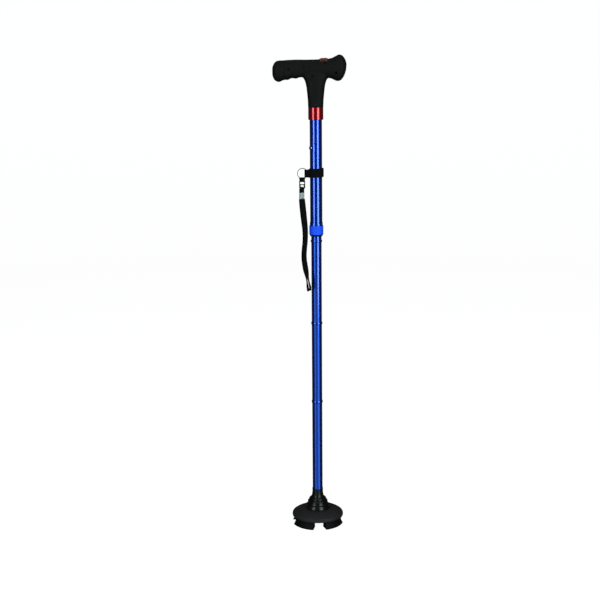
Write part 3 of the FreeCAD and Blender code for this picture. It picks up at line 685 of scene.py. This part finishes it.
def make_push_button():
    """Red saddle that follows the grip's top, with two soft humps across it."""
    low, high = box("light_button")
    centre = (low + high) / 2
    half_x = (high.x - low.x) / 2 - BUTTON_FLANGE
    half_y = (high.y - low.y) / 2 - BUTTON_FLANGE
    # how far inside the outline, height over the grip's surface
    levels = [(0.0, -2.3), (0.0, 0.6)]
    levels += [(1.8 * (1 - math.cos(t)), 0.6 + 1.5 * math.sin(t)) for t in np.linspace(0.15, math.pi / 2, 8)]
    levels += [(inside, 2.1) for inside in (2.6, 3.4, 4.2, 5.2, 6.2, 7.0)]
    rings = []
    for inside, rise in levels:
        ring = []
        corner = max(BUTTON_CORNER - inside, 0.4)
        for a, b in slot_outline((0, 0), 2 * (half_x - inside), 2 * (half_y - inside), corner, 12):
            hump = 0.75 * math.cos(2 * math.pi * a / 7.8 + math.pi) * ease(inside, 0.0, 3.0)
            ring.append((centre.x + a, b, grip_top(centre.x + a, b) + rise + hump))
        rings.append(ring)
    button = loft("push_button", rings)
    dress(button, "light_button", "red_button", "light_button")


# ---- nut and foot --------------------------------------------------------------------------
KNURL = (557.6, 571.8)                          # lower and upper edge of the knurled band
KNURL_COUNT = 42
KNURL_DEPTH = 0.45
KNURL_R = 13.0


def knurl(turn, r, z):
    """Diamond pattern pressed into the nut's widest band."""
    low, high = KNURL
    if r < KNURL_R - 0.1 or not low <= z <= high:
        return 0.0
    pitch = 2 * math.pi * KNURL_R / KNURL_COUNT
    one = (KNURL_COUNT * turn / (2 * math.pi) + z / pitch) % 1.0
    two = (KNURL_COUNT * turn / (2 * math.pi) - z / pitch) % 1.0
    depth = min(abs(one - 0.5), abs(two - 0.5)) * 2
    return -KNURL_DEPTH * (1 - depth) * ease(z, low, low + 0.5) * ease(-z, -high, 0.5 - high)


def make_lock_nut():
    low, high = (corner.z for corner in box("lock_nut"))
    band = [(KNURL_R, z) for z in np.linspace(KNURL[0], KNURL[1], 60)]
    outline = [(9.9, low), (10.7, low), (11.2, low + 0.3), (12.7, KNURL[0] - 0.6), *band,
               (12.75, KNURL[1] + 0.5), (12.1, KNURL[1] + 1.1), (11.9, KNURL[1] + 2.4), (11.75, high - 0.3),
               (11.5, high), (11.4, high), (11.4, low + 4.5), (9.9, low + 2.0)]
    nut = lathe("lock_nut_knurled", outline, KNURL_COUNT * 8, knurl)
    dress(nut, "lock_nut", "blue_nut", "lock_nut")
    paint(nut, "blue_tube", lambda p: not KNURL[0] - 0.5 < p.z < KNURL[1] + 0.8)


TREAD_GROOVES = (33.0, 37.0, 41.0)              # inner radii
LOBE_HALF = 30.2                                # half of a lobe's arc, in degrees


def make_lobes():
    """Four rubber lobes under the dome, with rounded edges and a ringed tread, coloured with a darker copy of
    the foot's rubber as painted shade.
    """
    lobes = []
    for low, high in islands("floor_lobes"):
        middle = math.degrees(math.atan2((low.y + high.y) / 2, (low.x + high.x) / 2))
        tread = []
        for groove in TREAD_GROOVES:
            tread += [(groove, 0.0), (groove + 0.25, 0.8), (groove + 1.15, 0.8), (groove + 1.4, 0.0)]
        outline = [(29.0, 0.0), *tread, (47.7, 0.0), (48.3, 0.5), (48.4, 1.6)]
        outline += [(44.2 + 4.1 * (1 - t) ** 2, 1.8 + 11.8 * t) for t in np.linspace(0.1, 1, 7)]
        outline += [(43.6, 15.6), (42.6, 17.6), (32.0, 17.6), (30.4, 9.0)]
        lobe = lathe("lobe", outline, 20, span=(middle - LOBE_HALF, middle + LOBE_HALF))
        lobes.append(bevelled(lobe, 0.7, 2, 50))
    pad = dress(merged("rubber_lobes", lobes), "foot", "foot_rubber", "floor_lobes")
    # painted shade: the lobes take the darker copy of the foot's rubber
    pad.data.materials[0] = FINISHES["lobe_rubber_painted_shade"]


# ---- strap fittings ------------------------------------------------------------------------
def make_band():
    """Hook-and-loop band: one strip wound once round the tube, its end lapped over on the right."""
    low = box("strap_band")[0]
    inner = box("upper_tube")[1].x + 0.05
    thickness = 1.4
    lap = math.radians(84)
    path, across, widths = [], [], []
    start = math.radians(38)
    total = 2 * math.pi + lap
    steps = 420
    height = 16.0
    for k in range(steps + 1):
        turn = total * k / steps
        lift = ease(turn, 2 * math.pi - 0.75, 2 * math.pi - 0.05)
        reach = inner + thickness / 2 + lift * (thickness + 0.05)
        angle = start - lap + turn
        path.append((reach * math.cos(angle), reach * math.sin(angle), low.z + height / 2 + 0.9 * lift))
        across.append((0, 0, 1))
        end = min(max(total - turn, 0.0), 0.16) / 0.16
        widths.append(height - 1.6 * (1 - math.sqrt(1 - (1 - end) ** 2)))
    band = webbing("hook_and_loop_band", path, across, widths, thickness, 1.1, 0.05, faces_across=15)
    dress(band, "upper_shaft", "black_webbing", "strap_band")


def make_tab():
    """Webbing tab folded round the split ring's wire and sewn on itself."""
    low, high = box("band_tab")
    y = (low.y + high.y) / 2
    half, thickness = 1.45, 1.0
    tube_x = -box("upper_tube")[1].x
    nose = arc((low.x + half + thickness / 2, y), half, 90, 270)
    outline = [(tube_x + 1.2, y + 2.4), (tube_x - 1.0, y + 2.0), (tube_x - 4.0, y + 1.6), *nose,
               (tube_x - 4.0, y - 1.6), (tube_x - 1.0, y - 2.0), (tube_x + 1.2, y - 2.3)]
    path = resampled([(a, b, (low.z + high.z) / 2) for a, b in outline], 0.3)
    across = [(0, 0, 1)] * len(path)
    widths = [high.z - low.z - 1.0 + 1.6 * ease(p.x, low.x + 2.0, tube_x) for p in path]
    tab = webbing("ring_tab_webbing", path, across, widths, thickness, 1.1, 0.05, faces_across=15)
    stitches = []
    for level in np.linspace(low.z + 1.4, high.z - 1.4, 9):
        for side in (-1, 1):
            stitches.append(thread((-13.6, y + side * 2.28, level), (0, 0, 1)))
    tab = merged("ring_tab_webbing", [tab] + stitches)
    tab.data.materials.clear()
    tab.data.materials.append(FINISHES["black_webbing"])
    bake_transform(tab)
    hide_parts("band_tab")


def thread(centre, way, length=1.1, radius=0.16):
    """One stitch of thread, lying on the cloth."""
    way = Vector(way).normalized()
    centre = Vector(centre)
    path = [centre + way * length * (t - 0.5) for t in np.linspace(0, 1, 6)]
    return wire("stitch", path, radius, 8)


def make_split_ring():
    """Steel ring of two close turns, whose ends lie in line with the wire."""
    low, high = box("split_ring")
    centre = (low + high) / 2
    wire_r = 0.56
    radius = (high.x - low.x) / 2 - 0.6
    path = []
    steps = 260
    for k in range(steps + 1):
        turns = 2.06 * k / steps
        shift = (ease(turns, 0.94, 1.12) * 2 - 1) * wire_r
        angle = 2 * math.pi * turns + math.radians(200)
        a, b = radius * math.cos(angle), radius * math.sin(angle)
        path.append((centre.x + a, centre.y + shift, centre.z + b))
    ring = wire("split_ring_wire", path, wire_r, 14)
    dress(ring, "ring_tab", "ring_steel", "split_ring")


def make_ring_loop():
    """Webbing loop that hangs the link from the ring."""
    low, high = box("ring_loop")
    link_low, link_high = box("strap_link")
    x, y = (link_low.x + link_high.x) / 2, (low.y + high.y) / 2
    ring_foot = box("split_ring")[0].z + 0.6
    bar = link_high.z - 1.2
    upper, lower = 2.0, 1.6
    outline = arc((y, ring_foot), upper, 0, 180) + arc((y, bar), lower, 180, 360)
    path = resampled([(x, a, b) for a, b in outline], 0.3, closed=True)
    widths = [7.7 + 2.9 * ease(p.z, link_high.z - 0.1, link_high.z + 1.1) for p in path]
    loop = webbing("ring_loop_webbing", path, [(1, 0, 0)] * len(path), widths, 1.0, 1.1, 0.05, closed=True)
    dress(loop, "strap", "black_webbing", "ring_loop")


def make_link():
    """Moulded figure-of-eight link."""
    low, high = box("strap_link")
    x, y = (low.x + high.x) / 2, (low.y + high.y) / 2
    width, height = high.x - low.x, high.z - low.z
    curve = bpy.data.curves.new("figure_eight_link", "CURVE")
    curve.dimensions = "2D"
    curve.fill_mode = "BOTH"
    edge = 0.45
    curve.extrude = (1.0 - edge) * MM
    curve.bevel_depth = edge * MM
    curve.bevel_resolution = 3
    bars = (high.z - 1.9, low.z + height / 2 + 0.45, low.z + height / 2 - 1.15, low.z + 1.9)
    outlines = [slot_outline((0, 0), width - 2 * edge, height - 2 * edge, 1.2)]
    for top, bottom, inner in ((bars[0], bars[1], 7.4), (bars[2], bars[3], 5.6)):
        middle = (top + bottom) / 2 - (low.z + high.z) / 2
        outlines.append(slot_outline((0, middle), inner + 2 * edge, top - bottom + 2 * edge, 1.6))
    for outline in outlines:
        spline = curve.splines.new("POLY")
        spline.points.add(len(outline) - 1)
        for point, (a, b) in zip(spline.points, outline):
            point.co = (a * MM, b * MM, 0, 1)
        spline.use_cyclic_u = True
    shape = bpy.data.objects.new("link_curve", curve)
    bpy.context.scene.collection.objects.link(shape)
    bpy.context.view_layer.update()
    graph = bpy.context.evaluated_depsgraph_get()
    data = bpy.data.meshes.new_from_object(shape.evaluated_get(graph))
    bpy.data.objects.remove(shape)
    place = Matrix.Translation((x * MM, y * MM, (low.z + high.z) / 2 * MM))
    data.transform(place @ Matrix.Rotation(math.pi / 2, 4, "X"))
    link = bpy.data.objects.new("figure_eight_link", data)
    bpy.context.scene.collection.objects.link(link)
    tidy_mesh(link)
    dress(link, "strap", "link_plastic", "strap_link")


def make_stitched_block():
    """Strap end folded over the link's lower bar and box-stitched."""
    low, high = box("stitched_block")
    link_low = box("strap_link")[0]
    x, y = (low.x + high.x) / 2, (low.y + high.y) / 2
    bar = link_low.z + 1.2
    upper, lower = 1.6, 1.25
    outline = [(y + lower, low.z - 1.0), (y + lower, low.z + 1.5), (y + upper, low.z + 4.0)]
    outline += arc((y, bar), upper, 0, 180)
    outline += [(y - upper, low.z + 4.0), (y - lower, low.z + 1.5), (y - lower, low.z - 1.0)]
    path = resampled([(x, a, b) for a, b in outline], 0.3)
    widths = [9.3 - 3.2 * ease(p.z, link_low.z - 0.8, link_low.z + 0.3) for p in path]
    fold = webbing("stitched_fold", path, [(1, 0, 0)] * len(path), widths, 1.15, 1.1, 0.05)
    half_w, top, bottom = 3.4, bar - 2.6, low.z + 0.9
    corners = [(x - half_w, top), (x + half_w, top), (x + half_w, bottom), (x - half_w, bottom)]
    seams = list(zip(corners, corners[1:] + corners[:1]))
    seams += [(corners[0], corners[2]), (corners[1], corners[3])]
    stitches = []
    for (ax, az), (bx, bz) in seams:
        run = Vector((bx - ax, 0, bz - az))
        count = max(2, round(run.length / 1.25))
        for k in range(count):
            at = Vector((ax, 0, az)) + run * (k + 0.5) / count
            lean = lower + (upper - lower) * ease(at.z, low.z + 1.5, low.z + 4.0) + 0.6
            for side in (-1, 1):
                stitches.append(thread((at.x, y + side * lean, at.z), run, run.length / count * 0.72, 0.17))
    dress(merged("stitched_fold", [fold] + stitches), "strap", "black_webbing", "stitched_block")


FLUTE_PITCH = 2.3
FLUTE_DEPTH = 0.5


def make_crimp():
    """Pressed metal crimp with upright flutes."""
    low, high = box("strap_crimp")
    x, y = (low.x + high.x) / 2, (low.y + high.y) / 2
    half_x, half_y = (high.x - low.x) / 2, (high.y - low.y) / 2
    rings = []
    levels = ((0.0, 0.75), (0.12, 0.35), (0.5, 0.06), (1.0, 0.0))
    heights = [(low.z + rise, inset) for rise, inset in levels]
    heights += [(high.z - rise, inset) for rise, inset in reversed(levels)]
    for z, inset in heights:
        ring = []
        for k in range(144):
            turn = 2 * math.pi * k / 144
            a, b = oval_point(turn, half_x - inset, half_y - inset)
            wave = 0.5 + 0.5 * math.cos(2 * math.pi * a / FLUTE_PITCH)
            flute = FLUTE_DEPTH * wave ** 2 * ease(abs(b), half_y * 0.6, half_y * 0.9)
            ring.append((x + a, y + b - math.copysign(flute, b), z))
        rings.append(ring)
    dress(loft("fluted_crimp", rings), "strap", "crimp_metal", "strap_crimp")


# ---- wrist strap ---------------------------------------------------------------------------
STRAP_EXIT = (-0.0261, -0.003, 0.6218)
STRAP_WIDTH = 0.010
STRAP_THICK = 1.35                              # millimetres
STRAP_HEADING = math.radians(-50)
# the strap's route in its upright plane, in metres: distance along the heading, height
STRAP_ROUTE = (
    (-0.0009, 0.6218), (0.0019, 0.5950), (0.0087, 0.5560), (0.0015, 0.5170), (0.0069, 0.4940),
    (0.0116, 0.4775), (0.0136, 0.4660), (0.0146, 0.4590), (0.0166, 0.4550), (0.0206, 0.4549),
    (0.0224, 0.4600), (0.0194, 0.4680), (0.0159, 0.4775), (0.0107, 0.4950), (0.0053, 0.5170),
    (0.0125, 0.5560), (0.0056, 0.5950), (0.0009, 0.6218),
)
# height in millimetres, direction of the strap's width in degrees from +X
STRAP_FACING = (
    (440.0, 74.0), (460.0, 72.0), (474.0, 82.0), (492.0, 46.0), (515.0, 46.0), (556.0, 44.0), (600.0, 14.0),
    (622.0, 2.0),
)


def route_line():
    """Points along the smooth line through the strap's route, in metres."""
    curve = bpy.data.curves.new("strap_route", "CURVE")
    curve.dimensions = "3D"
    curve.resolution_u = 24
    spline = curve.splines.new("NURBS")
    spline.points.add(len(STRAP_ROUTE) - 1)
    for point, (along, height) in zip(spline.points, STRAP_ROUTE):
        x = STRAP_EXIT[0] + along * math.cos(STRAP_HEADING)
        y = STRAP_EXIT[1] + along * math.sin(STRAP_HEADING)
        point.co = (x, y, height, 1)
    spline.order_u = 3
    spline.use_endpoint_u = True
    shape = bpy.data.objects.new("strap_route", curve)
    bpy.context.scene.collection.objects.link(shape)
    bpy.context.view_layer.update()
    graph = bpy.context.evaluated_depsgraph_get()
    data = bpy.data.meshes.new_from_object(shape.evaluated_get(graph))
    points = [v.co.copy() for v in data.vertices]
    bpy.data.objects.remove(shape)
    return points


def make_wrist_strap():
    line = route_line()
    path = resampled([p / MM for p in line], 0.32)
    across = []
    for point in path:
        facing = math.radians(spline_value(STRAP_FACING, 1, point.z))
        across.append((math.cos(facing), math.sin(facing), 0))
    strap = webbing("wrist_strap_webbing", path, across, STRAP_WIDTH / MM, STRAP_THICK, 1.3, 0.08)
    dress(strap, "strap", "strap_webbing", "wrist_strap")


# ---- camera, floor and light ---------------------------------------------------------------
CAMERA_PLACE = (-0.031, -2.25, 0.88)
CAMERA_LENS = 74.2
CAMERA_TILT = math.radians(90 - 11.22)          # from looking straight down
CAMERA_ROLL = math.radians(-0.45)


def make_camera():
    data = bpy.data.cameras.new("camera")
    data.lens = CAMERA_LENS
    data.sensor_width = 36.0
    camera = bpy.data.objects.new("camera", data)
    camera.rotation_mode = "XYZ"
    turned = Matrix.Rotation(CAMERA_TILT, 4, "X") @ Matrix.Rotation(CAMERA_ROLL, 4, "Z")
    camera.matrix_world = Matrix.Translation(CAMERA_PLACE) @ turned
    bpy.context.scene.collection.objects.link(camera)
    bpy.context.scene.camera = camera


def make_floor():
    """Pale floor that sweeps up all round the cane."""
    verts, faces = [], []
    sides = 96
    profile = [(0.0, 0.0), (3.0, 0.0)]
    profile += [(3.0 + 1.5 * math.sin(t), 1.5 - 1.5 * math.cos(t)) for t in np.linspace(0.1, math.pi / 2, 12)]
    profile.append((4.5, 5.0))
    for reach, z in profile:
        for turn in np.linspace(0, 2 * math.pi, sides, endpoint=False):
            verts.append((reach * math.cos(turn) / MM, reach * math.sin(turn) / MM, z / MM))
    for ring in range(len(profile) - 1):
        faces += band_faces(sides, ring, ring + 1)
    floor = new_piece("studio_floor", verts, faces)
    paper = Finish("studio_paper", (0.15, 0.15, 0.15), 0.9, Emission_Strength=0.955,
                   Emission_Color=(1, 1, 1, 1))
    paper.tint(paper.noise(400.0), (0.147, 0.147, 0.147))
    floor.data.materials.append(paper.material)
    floor.visible_glossy = False
    floor.visible_shadow = False
    floor.visible_diffuse = False


SOFTBOX_TINT = (0.88, 1.0, 1.0)
LOW_TINT = (0.40, 0.82, 1.0)


def make_panel(name, place, size, power, tint=(1, 1, 1)):
    """A soft light at an azimuth and distance from the shaft, turned towards it."""
    azimuth, distance, low, high = place
    data = bpy.data.lights.new(name, "AREA")
    data.shape = "RECTANGLE"
    data.size = size
    data.size_y = high - low
    data.energy = power * math.pi * data.size * data.size_y
    data.color = tint
    panel = bpy.data.objects.new(name, data)
    turn = math.radians(azimuth)
    panel.location = (distance * math.sin(turn), -distance * math.cos(turn), (low + high) / 2)
    panel.rotation_euler = (math.pi / 2, 0, turn)
    panel.visible_camera = False
    bpy.context.scene.collection.objects.link(panel)


def make_lights():
    # azimuth in degrees to the right of the camera, distance, lower and upper edge in metres
    make_panel("left_softbox", (-42, 2.0, 0.30, 2.4), 0.65, 7.0, SOFTBOX_TINT)
    make_panel("right_softbox", (36, 2.0, 0.02, 2.4), 0.85, 7.5, SOFTBOX_TINT)
    make_panel("left_sweep", (-42, 2.0, -1.6, 0.30), 0.9, 1.75, LOW_TINT)
    make_panel("right_sweep", (36, 2.0, -1.6, 0.02), 1.0, 2.2, LOW_TINT)
    make_panel("low_front", (0, 2.6, -1.6, 0.0), 1.6, 0.75, LOW_TINT)
    overhead = bpy.data.lights.new("overhead", "AREA")
    overhead.size = 1.6
    overhead.energy = 1.2 * math.pi * overhead.size ** 2
    lamp = bpy.data.objects.new("overhead", overhead)
    lamp.location = (0, 0.1, 2.6)
    lamp.visible_camera = False
    bpy.context.scene.collection.objects.link(lamp)


def make_world():
    """Dim surroundings for reflections, and a plain white backdrop."""
    world = bpy.data.worlds.new("studio")
    world.use_nodes = True
    tree = world.node_tree
    background = tree.nodes["Background"]
    paths = tree.nodes.new("ShaderNodeLightPath")
    mix = tree.nodes.new("ShaderNodeMix")
    mix.data_type = "RGBA"
    mix.inputs["A"].default_value = (0.05, 0.05, 0.052, 1)
    mix.inputs["B"].default_value = (1, 1, 1, 1)
    tree.links.new(paths.outputs["Is Camera Ray"], mix.inputs["Factor"])
    tree.links.new(mix.outputs["Result"], background.inputs["Color"])
    bpy.context.scene.world = world
    bpy.context.scene.view_settings.view_transform = "Standard"


# ---- the whole cane ------------------------------------------------------------------------
FINISHES = make_finishes()
for subpart in frame["record"]["subparts"]:
    node = NODES[subpart["node"]]
    node.data.materials.clear()
    node.data.materials.append(FINISHES[subpart["material_slot"]])
    node.data.polygons.foreach_set("material_index", [0] * len(node.data.polygons))

# the dome's glossy boss, and the snap button's dark tip
BOSS_Z, BOSS_R = 28.5, 25.5
TIP_R = 13.0
paint(NODES["foot_dome"], "neck_rubber", lambda p: p.z > BOSS_Z and math.hypot(p.x, p.y) < BOSS_R)
paint(NODES["snap_button"], "switch_plastic", lambda p: math.hypot(p.x, p.y) > TIP_R)

make_camera()
make_wrist_strap()
make_handle()
make_push_button()
make_lock_nut()
make_lobes()
make_band()
make_tab()
make_split_ring()
make_ring_loop()
make_link()
make_stitched_block()
make_crimp()
make_floor()
make_lights()
make_world()
